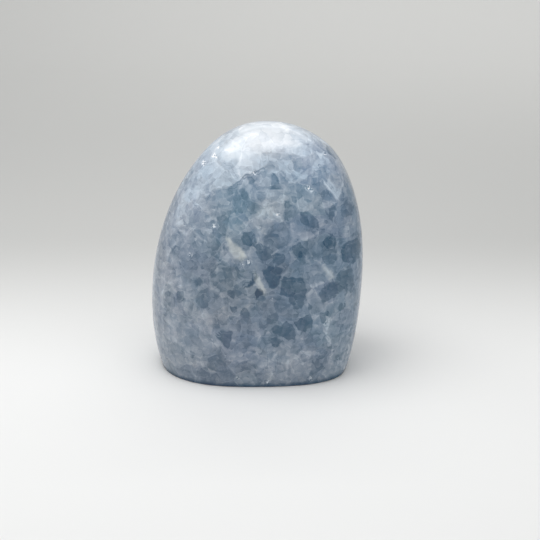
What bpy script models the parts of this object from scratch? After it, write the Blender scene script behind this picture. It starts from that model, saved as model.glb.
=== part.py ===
"""A polished blue calcite freeform: one egg-shaped stone, ground flat underneath so that it stands."""

import math

import bmesh
import bpy
from mathutils import Vector

STONE_NAME = "calcite_stone"

# Driving dimensions in metres: X is the width seen from the front, Y the depth, Z up from the flat base
HEIGHT = 0.100
HALF_WIDTH = 0.0419
HALF_DEPTH = 0.0285
WAIST_HEIGHT = 0.0317
CROWN_REACH = HEIGHT - WAIST_HEIGHT
# Below the waist the walls draw in, as if the stone went on to this depth before it was ground flat
FOOT_REACH = 0.065
# The crown leans this far towards +X over the centre of the base
CROWN_LEAN = 0.006
# Late rise of the lean: above 1 the foot stays upright for longer
LEAN_RISE = 1.17
# Worn edge round the flat base
RIM_WIDTH = 0.0010
RIM_STEPS = 2

# How full the outline is between its axes: 2 is an ellipse, more is squarer
CROWN_FULLNESS = 2.14
FOOT_FULLNESS = 2.2
PLAN_FULLNESS = 2.6
# The right side of the plan is squarer than the left by twice this
PLAN_SKEW = 0.4

# Places where the hand polishing left the surface a little low (depth above 0) or proud (below 0):
# turn from +X and rise above the waist in degrees, spread in degrees, depth in metres
POLISHED_PLACES = (
    (165, 48, 15, 0.00035),
    (40, 72, 14, 0.00045),
    (15, 53, 11, -0.00035),
    (-60, 20, 24, 0.00040),
    (-125, 55, 20, 0.00035),
    (-95, -8, 22, -0.00030),
    (80, 30, 26, 0.00060),
    (120, 5, 20, -0.00040),
    (200, -10, 16, 0.00025),
    (55, -12, 18, 0.00035),
)

# The polished surface is even, so a fine ball is enough to carry it
TURN_SEGMENTS = 84
LEVEL_RINGS = 56

# Blue calcite: milky grey-blue, wet-looking polish
STONE_COLOUR = (0.16, 0.225, 0.285, 1.0)
STONE_ROUGHNESS = 0.18


def clear_scene():
    """Remove every object that the new file starts with"""
    for item in list(bpy.data.objects):
        bpy.data.objects.remove(item, do_unlink=True)


def polished_material():
    """Polished calcite, one finish all over"""
    material = bpy.data.materials.new("polished_blue_calcite")
    material.use_nodes = True
    shader = material.node_tree.nodes["Principled BSDF"]
    shader.inputs["Base Color"].default_value = STONE_COLOUR
    shader.inputs["Roughness"].default_value = STONE_ROUGHNESS
    shader.inputs["Metallic"].default_value = 0.0
    return material


def heading(turn, rise):
    """Unit vector at a turn from +X and a rise above the waist, both in degrees"""
    turn = math.radians(turn)
    rise = math.radians(rise)
    return Vector((math.cos(rise) * math.cos(turn), math.cos(rise) * math.sin(turn), math.sin(rise)))


def plan_spread(turn):
    """How far the stone's outline lies from an ellipse's centre at this turn, seen from above"""
    fullness = PLAN_FULLNESS + PLAN_SKEW * math.cos(turn)
    return (abs(math.cos(turn)) ** fullness + abs(math.sin(turn)) ** fullness) ** (-1 / fullness)


def crown_shift(level):
    """Sideways shift of the section at this height"""
    share = min(max(level / HEIGHT, 0.0), 1.0) ** LEAN_RISE
    return CROWN_LEAN * (1 - math.cos(math.pi * share)) / 2


def polish_depth(direction):
    """How far below its even form the surface lies in this direction"""
    depth = 0.0
    for turn, rise, spread, place_depth in POLISHED_PLACES:
        angle = math.degrees(direction.angle(heading(turn, rise)))
        depth += place_depth * math.exp(-((angle / spread) ** 2))
    return depth


def stone_point(direction):
    """Move a point of the unit ball out to the surface of the stone"""
    above = direction.z > 0
    fullness = CROWN_FULLNESS if above else FOOT_FULLNESS
    reach = CROWN_REACH if above else FOOT_REACH
    level = WAIST_HEIGHT + math.copysign(reach * abs(direction.z) ** (2 / fullness), direction.z)
    turn = math.atan2(direction.y, direction.x)
    ring = math.hypot(direction.x, direction.y) ** (2 / fullness) * plan_spread(turn)
    surface = Vector((
        HALF_WIDTH * ring * math.cos(turn) + crown_shift(level),
        HALF_DEPTH * ring * math.sin(turn),
        level,
    ))
    outward = Vector((direction.x / HALF_WIDTH, direction.y / HALF_DEPTH, direction.z / reach))
    return surface - outward.normalized() * polish_depth(direction)


def egg_body():
    """The closed egg, before its underside is ground"""
    body = bmesh.new()
    bmesh.ops.create_uvsphere(body, u_segments=TURN_SEGMENTS, v_segments=LEVEL_RINGS, radius=1.0)
    for vert in body.verts:
        vert.co = stone_point(vert.co.normalized())
    return body


def grind_base(body):
    """Cut the egg off flat at Z = 0, close the cut and round its rim"""
    parts = body.verts[:] + body.edges[:] + body.faces[:]
    cut = bmesh.ops.bisect_plane(
        body, geom=parts, dist=1e-6, plane_co=(0, 0, 0), plane_no=(0, 0, -1), clear_outer=True
    )
    rim = [part for part in cut["geom_cut"] if isinstance(part, bmesh.types.BMEdge)]
    bmesh.ops.contextual_create(body, geom=rim)
    bmesh.ops.bevel(
        body, geom=rim, offset=RIM_WIDTH, segments=RIM_STEPS, profile=0.5, affect="EDGES"
    )
    bmesh.ops.recalc_face_normals(body, faces=body.faces[:])


def shade(mesh):
    """Smooth all over, with the flat base kept crisp"""
    mesh.shade_smooth()
    mesh.set_sharp_from_angle(angle=math.radians(30))


def make_stone(collection):
    """The one piece: the polished stone on its ground base"""
    body = egg_body()
    grind_base(body)
    mesh = bpy.data.meshes.new(STONE_NAME)
    body.to_mesh(mesh)
    body.free()
    shade(mesh)
    mesh.materials.append(polished_material())
    stone = bpy.data.objects.new(STONE_NAME, mesh)
    collection.objects.link(stone)
    return stone


def main():
    clear_scene()
    collection = bpy.data.collections.new("blue_calcite_freeform")
    bpy.context.scene.collection.children.link(collection)
    make_stone(collection)


main()
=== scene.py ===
"""Polished blue calcite freeform: the finished stone on a pale seamless sweep, with its lights and camera."""

import math

import bmesh
import bpy
import numpy as np
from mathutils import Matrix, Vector


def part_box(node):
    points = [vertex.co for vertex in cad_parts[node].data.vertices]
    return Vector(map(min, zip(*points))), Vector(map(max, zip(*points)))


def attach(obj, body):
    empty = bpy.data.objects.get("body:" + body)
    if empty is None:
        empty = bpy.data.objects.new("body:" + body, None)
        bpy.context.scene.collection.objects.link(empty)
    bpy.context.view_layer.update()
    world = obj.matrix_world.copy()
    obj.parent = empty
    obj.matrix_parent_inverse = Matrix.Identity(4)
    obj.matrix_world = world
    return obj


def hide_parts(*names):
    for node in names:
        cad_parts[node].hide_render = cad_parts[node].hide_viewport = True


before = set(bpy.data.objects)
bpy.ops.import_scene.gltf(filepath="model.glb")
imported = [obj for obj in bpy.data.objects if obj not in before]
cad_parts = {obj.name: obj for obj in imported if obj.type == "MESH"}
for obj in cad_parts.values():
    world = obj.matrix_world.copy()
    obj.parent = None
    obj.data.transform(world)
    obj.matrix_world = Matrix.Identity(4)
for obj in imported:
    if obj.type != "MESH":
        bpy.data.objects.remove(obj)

bl_info = {
    "name": "Polished calcite freeform",
    "version": (1, 0, 0),
    "blender": (4, 5, 0),
    "location": "3D View > Sidebar > Calcite",
    "description": "Models a polished blue calcite freeform and the studio sweep that it stands on",
    "category": "Add Mesh",
}

STONE_NODE = "calcite_stone"
STONE_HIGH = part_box(STONE_NODE)[1]
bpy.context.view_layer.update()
MM = 0.001

# The blank before it is refined: segments round the stone and rings from pole to pole of the ball
BLANK_SEGMENTS = 100
BLANK_RINGS = 72
REFINE_LEVELS = 2
RIM_STEPS = 3
BASE_INSETS = (4 * MM, 6 * MM, 6 * MM)

# How full the outline is between its axes: 2 is an ellipse, more is squarer
CROWN_FULLNESS = 2.14
FOOT_FULLNESS = 2.2
PLAN_FULLNESS = 2.6
PLAN_SKEW = 0.4
# Late rise of the crown's lean: above 1 the foot stays upright for longer
LEAN_RISE = 1.17
# Height, in widths of the worn edge, from which the wall has its full outline
WALL_START = 1.05
# Height up to which the hand polish moves the wall sideways more than down, so that the base stays flat
POLISH_START = 10 * MM
# Faces of the base look down at least this squarely, and lie within this of the floor
FACING_DOWN = 0.999
TOUCHING = 0.01 * MM
# Profile of an edge that is rounded to part of a circle
ROUND = 0.5
# Faces that meet at less than this angle shade as one surface
SMOOTH_ANGLE = math.radians(40)

# Places where the hand polishing left the surface a little low (depth above 0) or proud (below 0):
# turn from +X and rise above the waist in degrees, spread in degrees, depth in mm
POLISHED_PLACES = (
    (165, 48, 15, 0.35),
    (40, 72, 14, 0.45),
    (15, 53, 11, -0.35),
    (-60, 20, 24, 0.40),
    (-125, 55, 20, 0.35),
    (-95, -8, 22, -0.30),
    (80, 30, 26, 0.60),
    (120, 5, 20, -0.40),
    (200, -10, 16, 0.25),
    (55, -12, 18, 0.35),
)

# Level of the stone's milkiness: 0 is clear and dark, 4 the body, 7 cloudy, 13 white
BODY_LEVEL = 3.9
# Wide zones that are milkier or clearer than the body: centre and reach in mm, and change of level
MILKY_ZONES = (
    # The first zone, over the crown, is partly the milky cap and partly painted highlight: it lifts the crown
    # towards the white of the overhead light's sheen
    ((-4, -4, 98), (32, 28, 15), 3.6),
    ((-24, -8, 84), (13, 22, 14), 2.6),
    ((-40, -6, 58), (9, 24, 24), 1.9),
    ((-36, -8, 22), (13, 22, 18), 1.9),
    ((26, -8, 90), (11, 20, 11), 1.6),
    ((-8, -24, 54), (16, 8, 9), 1.2),
    ((38, -8, 22), (8, 22, 22), 0.6),
    ((10, -26, 48), (14, 9, 14), -1.2),
    ((20, 24, 60), (16, 9, 14), 2.2),
    ((-14, 26, 34), (15, 9, 16), -1.0),
    ((-22, 20, 78), (14, 12, 12), 1.8),
)
# Wide zones that are greyer (change below 0) or bluer (above 0) than the body, given in the same way
TINTED_ZONES = (
    ((-30, -14, 14), (20, 20, 24), -1.0),
    ((6, -20, 4), (34, 20, 12), -0.9),
    ((-36, -10, 52), (12, 20, 22), -0.8),
    ((2, -12, 99), (26, 20, 10), -2.0),
    ((24, -18, 60), (22, 16, 22), 0.3),
    ((-4, -20, 76), (10, 14, 9), 0.4),
    ((9, -25, 74), (6, 10, 6), -0.8),
    ((20, -16, 88), (14, 16, 9), 0.9),
    ((-8, -26, 46), (13, 12, 9), -0.7),
    ((-8, -26, 32), (16, 12, 8), -0.5),
    ((24, 20, 30), (20, 16, 22), 0.6),
)

# Zones whose blue leans to violet (above 0) or green (below 0): centre and reach in mm, degrees of hue
HUE_ZONES = (
    ((-10, -22, 18), (20, 16, 11), 3),
    ((-6, -20, 66), (10, 14, 14), -4),
    ((16, -18, 74), (22, 14, 7), -2),
    ((30, -14, 24), (10, 14, 16), -3),
    ((25, -20, 12), (6, 10, 5), 3),
    ((-30, -14, 42), (14, 18, 24), 1.5),
)

# Marks on the front, where they show in the frame at the photograph's angle.
# Soft fields, then grains: name, level, softness of the edge in pixels, corners in pixels across and down
FRONT_FIELDS = (
    ("middle field", 5, 6, ((196, 214), (252, 214), (292, 216), (300, 236), (262, 240), (258, 262),
     (226, 264), (206, 240))),
    ("upper right field", 5.3, 6, ((292, 160), (322, 164), (350, 196), (360, 232), (330, 238), (300, 214),
     (286, 200))),
    ("lower left field", 4.1, 8, ((160, 308), (214, 310), (214, 350), (206, 374), (172, 368), (160, 340))),
    ("pale fan, lower left", 5.3, 3, ((190, 309), (203, 308), (214, 318), (211, 330), (204, 333),
     (196, 322))),
    ("pale patch, lower left", 5.6, 2.5, ((203, 340), (214, 338), (220, 346), (214, 351), (204, 349))),
    ("right of the white", 6.3, 4, ((300, 146), (314, 136), (326, 146), (330, 152), (312, 160), (296, 158))),
    ("field under the line", 5, 3, ((208, 197), (214, 188), (229, 185), (235, 182), (246, 176), (252, 178),
     (250, 214), (236, 218), (216, 214), (206, 208))),
    ("upper left cloud", 6.6, 6, ((180, 190), (198, 166), (214, 166), (206, 196), (206, 212), (192, 222),
     (178, 230), (168, 224))),
    ("band over the fracture", 7.5, 1, ((196, 180), (212, 158), (236, 140), (272, 140), (272, 158),
     (266, 165), (261, 171), (256, 171), (251, 174), (246, 175), (241, 180), (235, 184), (229, 187),
     (220, 188), (214, 190), (206, 197), (200, 190))),
    ("blue of the shoulder band", 6.9, 2.5, ((184, 182), (196, 171), (213, 167), (221, 170), (222, 182),
     (206, 194), (190, 194))),
    ("blue hollow in the band", 7, 2, ((222, 168), (232, 166), (238, 170), (236, 177), (226, 178),
     (220, 174))),
    # The white crown and its left part are partly the stone's milky cap and partly painted highlight: the
    # overhead light's sheen on the crown is painted into their level
    ("crown, milky with painted sheen", 9.25, 7, ((226, 158), (230, 147), (237, 137), (246, 127), (256, 117), (270, 114),
     (285, 117), (297, 125), (308, 133), (304, 140), (290, 146), (276, 150), (258, 155), (240, 160))),
    ("crown's left part, with painted sheen", 9, 2.5, ((220, 158), (220, 151), (224, 146), (231, 141), (240, 137), (256, 134),
     (264, 148), (250, 156), (238, 158), (228, 160))),
    ("blue-white shoulder", 8.4, 2.5, ((286, 115), (300, 119), (316, 133), (309, 142), (296, 147),
     (289, 140), (286, 128))),
    ("blue inlet", 7.4, 2, ((262, 152), (270, 151), (271, 159), (265, 163), (260, 158))),
    ("dark cluster, left", 2.6, 5, ((203, 270), (214, 264), (232, 266), (240, 276), (238, 290), (214, 290),
     (204, 284))),
    ("pale bar, lower left", 5.5, 3, ((168, 322), (178, 318), (176, 336), (169, 340))),
    ("centre cloud", 5.7, 3.5, ((268, 191), (286, 191), (284, 206), (280, 218), (272, 224), (262, 224),
     (254, 216), (262, 206))),
    ("left field", 3.8, 5, ((190, 240), (222, 238), (226, 264), (216, 282), (192, 286), (176, 276),
     (176, 258))),
    ("field left of the wedge", 3.5, 5, ((222, 286), (256, 284), (262, 300), (256, 310), (226, 308))),
    ("dark heart", 3.4, 6, ((256, 240), (272, 224), (290, 228), (292, 250), (310, 262), (306, 300),
     (290, 306), (268, 296), (258, 268))),
    ("right field", 3.9, 5, ((318, 236), (358, 232), (362, 262), (354, 300), (326, 304), (312, 290),
     (322, 262))),
    ("right lower field", 4.9, 6, ((330, 300), (354, 300), (350, 345), (342, 372), (330, 372), (326, 330))),
    ("lower middle field", 3.2, 5, ((216, 318), (266, 322), (268, 344), (256, 352), (236, 350), (214, 330))),
    ("lower lilac field", 5, 5, ((264, 350), (286, 344), (304, 338), (308, 352), (306, 374), (290, 380),
     (266, 378))),
    ("lilac cloud, right", 4, 2.5, ((308, 258), (318, 258), (328, 268), (330, 280), (320, 286), (312, 292),
     (308, 276))),
    ("pale field by the base", 5.1, 3, ((228, 352), (248, 350), (250, 360), (232, 362))),
)

FRONT_GRAINS = (
    ("white streak, upper left", 7.4, 1.5, ((183, 192), (190, 188), (200, 186), (199, 200), (188, 200),
     (184, 214), (181, 206))),
    ("streak beside it", 8.3, 1.5, ((194, 184), (199, 186), (199, 198), (194, 197))),
    ("cloud's lower tongue", 4.4, 2, ((254, 216), (264, 222), (263, 236), (258, 240), (256, 228))),
    ("fan of the apex", 5.6, 1.2, ((271, 160), (276, 164), (283, 172), (289, 181), (289, 189), (259, 189),
     (257, 182), (262, 172))),
    ("beside the fan", 7.7, 1.5, ((276, 160), (296, 160), (303, 170), (297, 176), (284, 172), (278, 164))),
    ("bright band, upper right", 7.1, 1.5, ((296, 180), (303, 173), (312, 166), (318, 158), (326, 152),
     (331, 156), (324, 165), (313, 172), (304, 180))),
    ("fan's left part", 5.3, 1.5, ((262, 174), (271, 166), (272, 189), (260, 189))),
    ("fan's right part", 4.9, 1.2, ((279, 171), (289, 182), (289, 189), (281, 189))),
    ("fan's dark triangle", 2.7, 1, ((272, 171), (277, 176), (282, 189), (271, 189))),
    ("violet patch", 4.5, 1.5, ((292, 158), (303, 158), (304, 166), (300, 173), (294, 170))),
    ("grain under the line", 3.6, 1.5, ((247, 176), (254, 175), (258, 177), (254, 184), (249, 184))),
    ("blue patch", 3.5, 1.5, ((236, 191), (243, 187), (248, 192), (250, 204), (246, 212), (240, 214),
     (234, 206), (233, 198))),
    ("its dark top", 2.8, 1.5, ((239, 190), (243, 188), (247, 192), (248, 202), (243, 200))),
    ("round grain", 3.8, 1, ((256, 193), (261, 190), (267, 193), (265, 199), (260, 203), (256, 199))),
    ("grey blade", 2.8, 1.2, ((284, 201), (289, 200), (292, 210), (290, 228), (284, 221), (285, 210))),
    ("bright wedge", 9, 1, ((315, 151), (321, 153), (325, 151), (321, 160))),
    ("glass triangle", 6.1, 0.8, ((325, 181), (344, 179), (340, 195), (337, 200), (330, 190))),
    ("pale hook, lower right", 7.3, 1.4, ((321, 326), (325, 320), (331, 317), (329, 326), (327, 332),
     (330, 338), (332, 344), (328, 346), (325, 338), (324, 332))),
    ("teal grain, right foot", 5, 1.5, ((334, 354), (340, 348), (346, 350), (344, 362), (337, 370),
     (332, 366))),
    ("teal pentagon", 0.7, 0.6, ((326, 238), (332, 233), (337, 240), (335, 249), (328, 249), (322, 244))),
    ("block below the pentagon", 2.2, 1, ((323, 250), (336, 250), (338, 258), (333, 265), (326, 265),
     (321, 257))),
    ("violet zone, centre", 3, 1.5, ((262, 246), (269, 233), (276, 223), (284, 222), (290, 232), (288, 244),
     (276, 250))),
    ("deep zone, centre", 0.9, 1.2, ((255, 243), (262, 244), (268, 247), (274, 252), (271, 259), (262, 261),
     (257, 256))),
    ("deep grain beside it", 1, 0.9, ((273, 255), (279, 253), (285, 255), (285, 262), (279, 265),
     (273, 263))),
    ("dark grain, left of the hollow", 1.8, 1.5, ((222, 268), (231, 266), (233, 272), (234, 281),
     (226, 282))),
    ("dark lath beside it", 1.2, 0.9, ((235, 267), (238, 267), (242, 280), (238, 279))),
    ("grain under the cluster", 2.4, 1.2, ((234, 284), (244, 288), (248, 296), (238, 298), (233, 292))),
    ("lilac-dark patch, foot", 2.8, 1.5, ((169, 343), (184, 343), (185, 350), (182, 354), (171, 353))),
    ("grey grain, lower left", 4.1, 1.2, ((176, 334), (177, 325), (182, 320), (187, 326), (184, 336))),
    ("grain beside it", 4.4, 1.2, ((189, 330), (194, 329), (199, 337), (198, 343), (193, 341))),
    ("chip over the foot", 3.7, 1, ((185, 341), (190, 340), (193, 346), (188, 348))),
    ("grain right of the middle", 3, 1.2, ((252, 300), (262, 300), (268, 308), (262, 316), (254, 312))),
    ("grain left of the lens", 3.2, 1.2, ((282, 306), (294, 308), (296, 316), (288, 320), (281, 316))),
    ("grain, right of the hook", 3.4, 1.2, ((338, 318), (346, 316), (350, 324), (346, 334), (338, 332))),
    ("grain below the fan", 3.8, 1.2, ((288, 204), (296, 206), (298, 216), (292, 224), (286, 216))),
    ("grain over the pentagon", 5.3, 1.2, ((328, 224), (336, 223), (337, 233), (330, 234), (326, 230))),
    ("grain left of the pentagon", 3.6, 1.2, ((312, 240), (320, 240), (322, 250), (316, 254), (310, 250))),
    ("lilac grain, left middle", 4, 1.5, ((184, 262), (196, 260), (202, 270), (196, 278), (184, 276))),
    ("blue grain, left middle", 4, 1.5, ((196, 246), (206, 250), (214, 258), (208, 266), (198, 262))),
    ("grain, left shoulder", 5.8, 1.5, ((184, 216), (192, 214), (196, 222), (190, 230), (183, 226))),
    ("teal grain under the band", 4.8, 1.5, ((212, 196), (222, 192), (230, 196), (228, 206), (216, 208))),
    ("shoulder grain", 6.2, 2, ((327, 152), (334, 155), (343, 172), (344, 180), (334, 178), (326, 168))),
    ("dark chip by the rim", 2.4, 1, ((326, 145), (331, 146), (336, 153), (340, 161), (335, 159), (330, 154),
     (327, 151))),
    ("dark grain below the shoulder", 4.2, 1, ((320, 166), (325, 168), (328, 178), (327, 183), (318, 187),
     (318, 175))),
    ("dark grain left of it", 3.9, 1, ((311, 177), (317, 178), (317, 186), (311, 184))),
    ("triangle's dark side", 4.4, 0.8, ((343, 184), (351, 182), (354, 200), (340, 201))),
    ("dark below the laths", 4.2, 0.8, ((323, 188), (330, 190), (337, 199), (330, 201), (322, 200))),
    ("fan blade, right", 4.5, 1, ((296, 181), (305, 190), (303, 200), (297, 198))),
    ("blade's neighbour", 5.2, 1.2, ((304, 188), (310, 194), (318, 192), (314, 203), (308, 207),
     (302, 200))),
    ("small dark wedge", 3, 0.8, ((291, 196), (297, 197), (296, 203), (292, 202))),
    ("lilac strip", 6.4, 0.8, ((320, 203), (330, 202), (338, 201), (334, 205), (326, 208), (322, 207))),
    ("block under the strip", 3.7, 1.2, ((319, 208), (328, 209), (329, 220), (321, 218))),
    ("dark block under the strip", 2.1, 0.9, ((329, 207), (336, 204), (335, 213), (332, 222), (329, 220))),
    ("big dark grain, right", 1.8, 1.2, ((300, 212), (308, 211), (313, 215), (319, 222), (319, 229),
     (314, 228), (307, 226), (300, 222))),
    ("far right dark", 2.8, 1.5, ((341, 208), (346, 200), (353, 202), (354, 214), (346, 217), (341, 216))),
    ("chips, right", 4, 1.5, ((337, 222), (345, 222), (345, 235), (338, 234))),
    ("small dark, right", 2.8, 1, ((321, 228), (325, 229), (324, 235), (321, 234))),
    ("lilac bar, right", 4.9, 2, ((292, 232), (312, 232), (312, 239), (294, 241))),
    ("right edge trapezoid", 0.7, 1, ((342, 245), (349, 241), (358, 238), (361, 247), (359, 258), (353, 264),
     (343, 262), (341, 252))),
    ("fan-topped dark grain", 1.6, 1, ((292, 244), (299, 240), (302, 246), (308, 250), (305, 257),
     (298, 259), (292, 251))),
    ("its dark foot", -0.6, 1, ((299, 251), (303, 252), (302, 258), (298, 258))),
    ("dark grain under it", 2.4, 1.2, ((299, 259), (306, 258), (305, 264), (300, 266))),
    ("dark grain, upper left", 3, 1.2, ((217, 217), (224, 215), (229, 217), (228, 226), (226, 235),
     (220, 238), (213, 236), (212, 229), (216, 226))),
    ("violet grain, left", 5.2, 1.5, ((193, 208), (200, 208), (206, 218), (205, 228), (196, 231),
     (191, 224))),
    ("teal corner, left", 3.6, 1.2, ((178, 230), (182, 231), (182, 238), (178, 238))),
    ("crescent grain, left", 4, 1, ((171, 253), (172, 248), (178, 246), (187, 250), (188, 258), (184, 262),
     (177, 256))),
    ("its dark edge", 2.6, 0.8, ((170, 254), (171, 248), (176, 245), (179, 246), (173, 250), (172, 254))),
    ("dark bar, left", 3.8, 1, ((201, 240), (207, 242), (216, 243), (216, 247), (207, 247), (203, 249))),
    ("lath pair, left", 4.9, 0.8, ((184, 238), (191, 232), (194, 235), (190, 243))),
    ("dark grain, centre", 1.6, 1.2, ((243, 233), (252, 231), (256, 236), (257, 243), (260, 247), (257, 250),
     (252, 246), (243, 245), (241, 238))),
    ("pale chip under the streak", 5.8, 2, ((221, 250), (232, 250), (236, 258), (226, 262), (219, 259))),
    ("pale hollow under the streak", 4.4, 2, ((240, 262), (254, 258), (256, 268), (246, 270))),
    ("round lilac grain", 3.6, 1.2, ((243, 270), (254, 268), (256, 274), (252, 281), (245, 284),
     (241, 278))),
    ("dark crack of that grain", -1.7, 0.7, ((256, 276), (256, 281), (250, 286), (245, 287), (251, 282))),
    ("dark teal facet", -3, 0.8, ((257, 288), (262, 289), (264, 294), (259, 297), (256, 299), (255, 292))),
    ("dark wedge, centre", 0, 1.5, ((262, 271), (270, 266), (283, 268), (281, 277), (277, 288), (270, 289),
     (266, 280))),
    ("straight-topped grain", 0.3, 1.2, ((283, 277), (303, 278), (307, 290), (305, 298), (298, 299),
     (288, 297), (280, 295), (281, 286))),
    ("its lower part", 1.1, 1.2, ((288, 297), (305, 298), (302, 309), (295, 309), (290, 303))),
    ("dark band, right", 1.5, 1, ((319, 292), (327, 284), (336, 277), (340, 271), (346, 270), (350, 262),
     (354, 275), (354, 285), (350, 293), (344, 288), (337, 296), (329, 300), (324, 304), (320, 298))),
    ("band's deep middle", 1, 2, ((330, 284), (338, 280), (340, 290), (332, 292))),
    ("pale wedge below the band", 4.4, 1.5, ((336, 302), (346, 290), (350, 292), (344, 301), (338, 304))),
    ("grain below that wedge", 2.4, 1, ((337, 308), (341, 303), (346, 302), (345, 307), (340, 312))),
    ("small dark, lower right", 0.4, 0.8, ((308, 303), (312, 305), (312, 310), (308, 311))),
    ("small dark, far lower right", 0, 0.8, ((326, 311), (329, 311), (329, 316), (326, 315))),
    ("violet grain, lower right", 1.5, 1, ((320, 312), (326, 313), (326, 320), (324, 325), (320, 320))),
    ("teal block", 3.4, 1, ((309, 331), (323, 330), (328, 343), (326, 349), (320, 352), (308, 348),
     (305, 345))),
    ("teal flank", 3.8, 2, ((332, 320), (345, 320), (352, 336), (344, 350), (336, 342), (332, 330))),
    ("flank's dark foot", 2.8, 2, ((334, 346), (344, 346), (342, 360), (332, 362))),
    ("dark diagonal", 2.1, 1, ((331, 345), (332, 349), (327, 358), (325, 366), (318, 372), (314, 378),
     (307, 379), (311, 370), (312, 360), (316, 354), (323, 352), (327, 347))),
    ("dark lens", 0.4, 1, ((294, 323), (303, 317), (311, 314), (313, 322), (312, 329), (304, 332),
     (298, 330))),
    ("dark twin grain", 0.7, 1, ((271, 328), (276, 325), (281, 326), (286, 321), (291, 324), (297, 331),
     (295, 339), (288, 340), (281, 336), (274, 334))),
    ("dark triangle, pointing down", 0.4, 0.9, ((270, 338), (277, 337), (283, 340), (276, 349), (272, 345))),
    ("teal grain", 1.7, 1, ((264, 321), (270, 315), (276, 312), (279, 316), (277, 322), (270, 325))),
    ("arch grain", 1.2, 0.8, ((241, 318), (240, 311), (243, 308), (247, 308), (249, 312), (250, 318))),
    ("small blot", 0.2, 1.2, ((230, 306), (237, 307), (237, 312), (231, 313))),
    ("dark blot", 0.4, 1, ((227, 290), (233, 291), (236, 296), (233, 299), (228, 296))),
    ("round dark grain", 2.3, 1, ((196, 297), (201, 290), (208, 288), (216, 290), (221, 296), (216, 299),
     (211, 298), (206, 309), (200, 307), (196, 302))),
    ("dark grain above it", 2.1, 1.2, ((195, 279), (199, 277), (203, 281), (200, 286), (195, 288))),
    ("dark pair, upper", 2.2, 1.2, ((210, 271), (216, 271), (216, 278), (211, 278))),
    ("dark pair, lower", 2, 1.2, ((213, 281), (219, 282), (219, 288), (213, 286))),
    ("left twin", 2.5, 1.2, ((165, 292), (170, 291), (175, 296), (176, 303), (174, 308), (168, 306),
     (165, 299))),
    ("left twin's partner", 1.9, 1, ((177, 291), (183, 291), (185, 297), (182, 303), (176, 302))),
    ("dark triangle, lower left", 0.8, 1, ((214, 331), (233, 331), (230, 345), (228, 350), (222, 343),
     (217, 338))),
    ("dark patch by the base", 2, 1.5, ((208, 358), (213, 356), (220, 353), (226, 357), (226, 365),
     (222, 372), (212, 371), (207, 367))),
    ("blue band by the base", 2.6, 2, ((234, 366), (246, 362), (258, 365), (258, 369), (244, 370))),
    ("violet grain by the base", 3.3, 1.2, ((292, 343), (296, 339), (302, 340), (304, 348), (297, 355),
     (290, 353))),
    ("violet chip by the base", 3.3, 1, ((300, 355), (306, 353), (307, 361), (302, 363))),
    ("chip, left foot", 3, 0.8, ((182, 351), (185, 352), (186, 358), (182, 357))),
    ("second chip, left foot", 2.2, 0.8, ((190, 351), (195, 352), (194, 358), (190, 358))),
    ("third chip, left foot", 4, 1, ((192, 328), (197, 330), (196, 334), (191, 333))),
)

# Cream mineral let into the stone: name, share of cream, softness of the edge in pixels, corners in pixels
FRONT_CREAM = (
    ("streak", 0.66, 2, ((226, 236), (230, 239), (234, 244), (239, 247), (244, 252), (246, 258), (240, 261),
     (233, 256), (229, 249), (228, 243))),
    ("streak's bright top", 0.8, 1.6, ((230, 243), (234, 244), (237, 249), (234, 251), (230, 249))),
    ("wedge", 0.4, 1.4, ((254, 271), (258, 275), (262, 283), (267, 293), (265, 296), (260, 289), (255, 282))),
    ("lobe", 0.25, 2.5, ((322, 265), (329, 269), (335, 275), (330, 281), (326, 275))),
    ("stain over the dark heart", 0.1, 5, ((258, 206), (272, 206), (276, 218), (264, 236), (256, 232))),
)

# Pits cut into the front, painted pale inside as glints: name, centre and radius in pixels, depth in mm
FRONT_PITS = (
    ("ring pit on the line", (243, 178), 2.2, 0.20),
    ("bright pit on the line", (254, 173), 2.6, 0.22),
    ("pits below the streak", (249, 262), 2.6, 0.18),
    ("second pit below the streak", (242, 265), 1.8, 0.12),
    ("centre pit", (278, 215), 2.4, 0.20),
    ("right pit", (308, 188), 2.8, 0.22),
    ("right pit's tail", (312, 190), 2.0, 0.15),
    ("left pit", (214, 226), 2.2, 0.15),
    ("nick by the crescent", (190, 255), 1.8, 0.12),
    ("shoulder pits", (204, 163), 2.6, 0.15),
    ("second shoulder pits", (215, 156), 2.6, 0.15),
    ("third shoulder pit", (219, 147), 1.8, 0.10),
    ("jagged pit", (272, 299), 1.5, 0.15),
    ("edge pit", (325, 154), 1.8, 0.10),
    ("chip of the base's edge", (311, 378), 2.4, 0.25),
    ("nick of the base's edge", (238, 378), 1.6, 0.15),
    ("second nick of that edge", (268, 382), 1.5, 0.15),
)

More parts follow.
